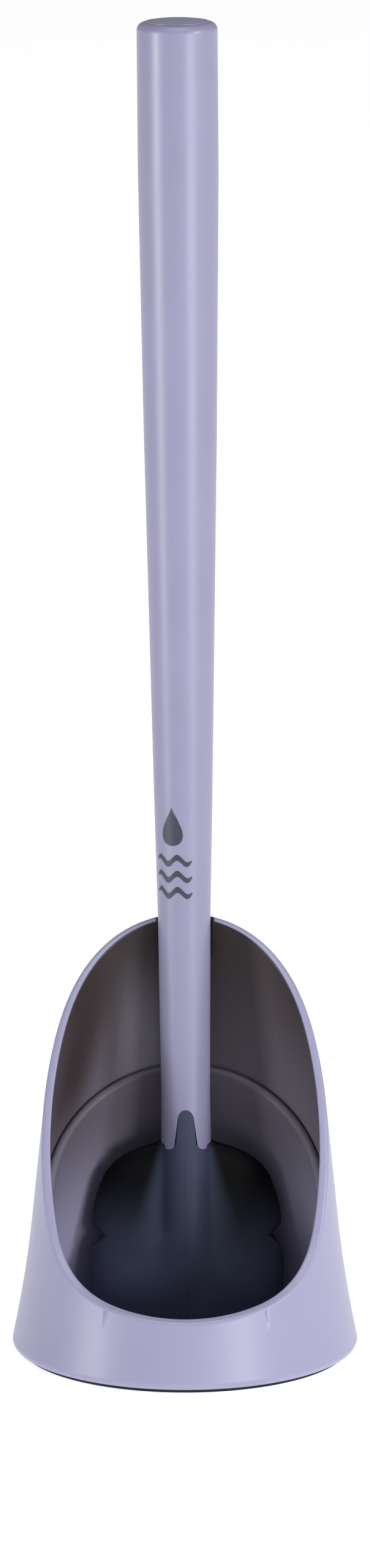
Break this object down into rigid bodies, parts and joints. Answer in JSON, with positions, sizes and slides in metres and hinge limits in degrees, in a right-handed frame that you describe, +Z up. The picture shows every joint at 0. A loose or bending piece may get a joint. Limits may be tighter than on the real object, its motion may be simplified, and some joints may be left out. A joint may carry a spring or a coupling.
{
  "type": "toilet plunger with holder",
  "caption": "Toilet plunger with a long tapered handle and a notched rubber head, standing in a flared, cut-away holder with a lift-out drip cup.",
  "frame": {"origin": "on the floor, under the middle of the round holder", "axes": "+Z up, -Y towards the holder's cut-away front, +X to the right as seen from the front"},
  "size_m": [0.1302, 0.1302, 0.4998],
  "materials": {
    "shell_plastic": "satin",
    "cup_plastic": "satin",
    "ring_rubber": "matte",
    "handle_plastic": "satin",
    "cap_plastic": "satin",
    "core_plastic": "matte",
    "pin_steel": "brushed",
    "head_rubber": "matte"
  },
  "bodies": {
    "base": {"drip_cup": "cup_plastic", "non_slip_ring": "ring_rubber"},
    "shell": {"holder_shell": "shell_plastic"},
    "plunger": {"handle_tube": "handle_plastic", "handle_end_cap": "cap_plastic", "head_core": "core_plastic", "core_pin": "pin_steel", "plunger_head": "head_rubber"}
  },
  "joints": [
    {"name": "shell_lift", "type": "slide", "parent": "base", "child": "shell", "axis": [0, 0.0732, 0.9973], "range_m": [0, 0.11]},
    {"name": "plunger_lift", "type": "slide", "parent": "base", "child": "plunger", "axis": [0, -0.2588, 0.9659], "range_m": [0, 0.21]}
  ]
}
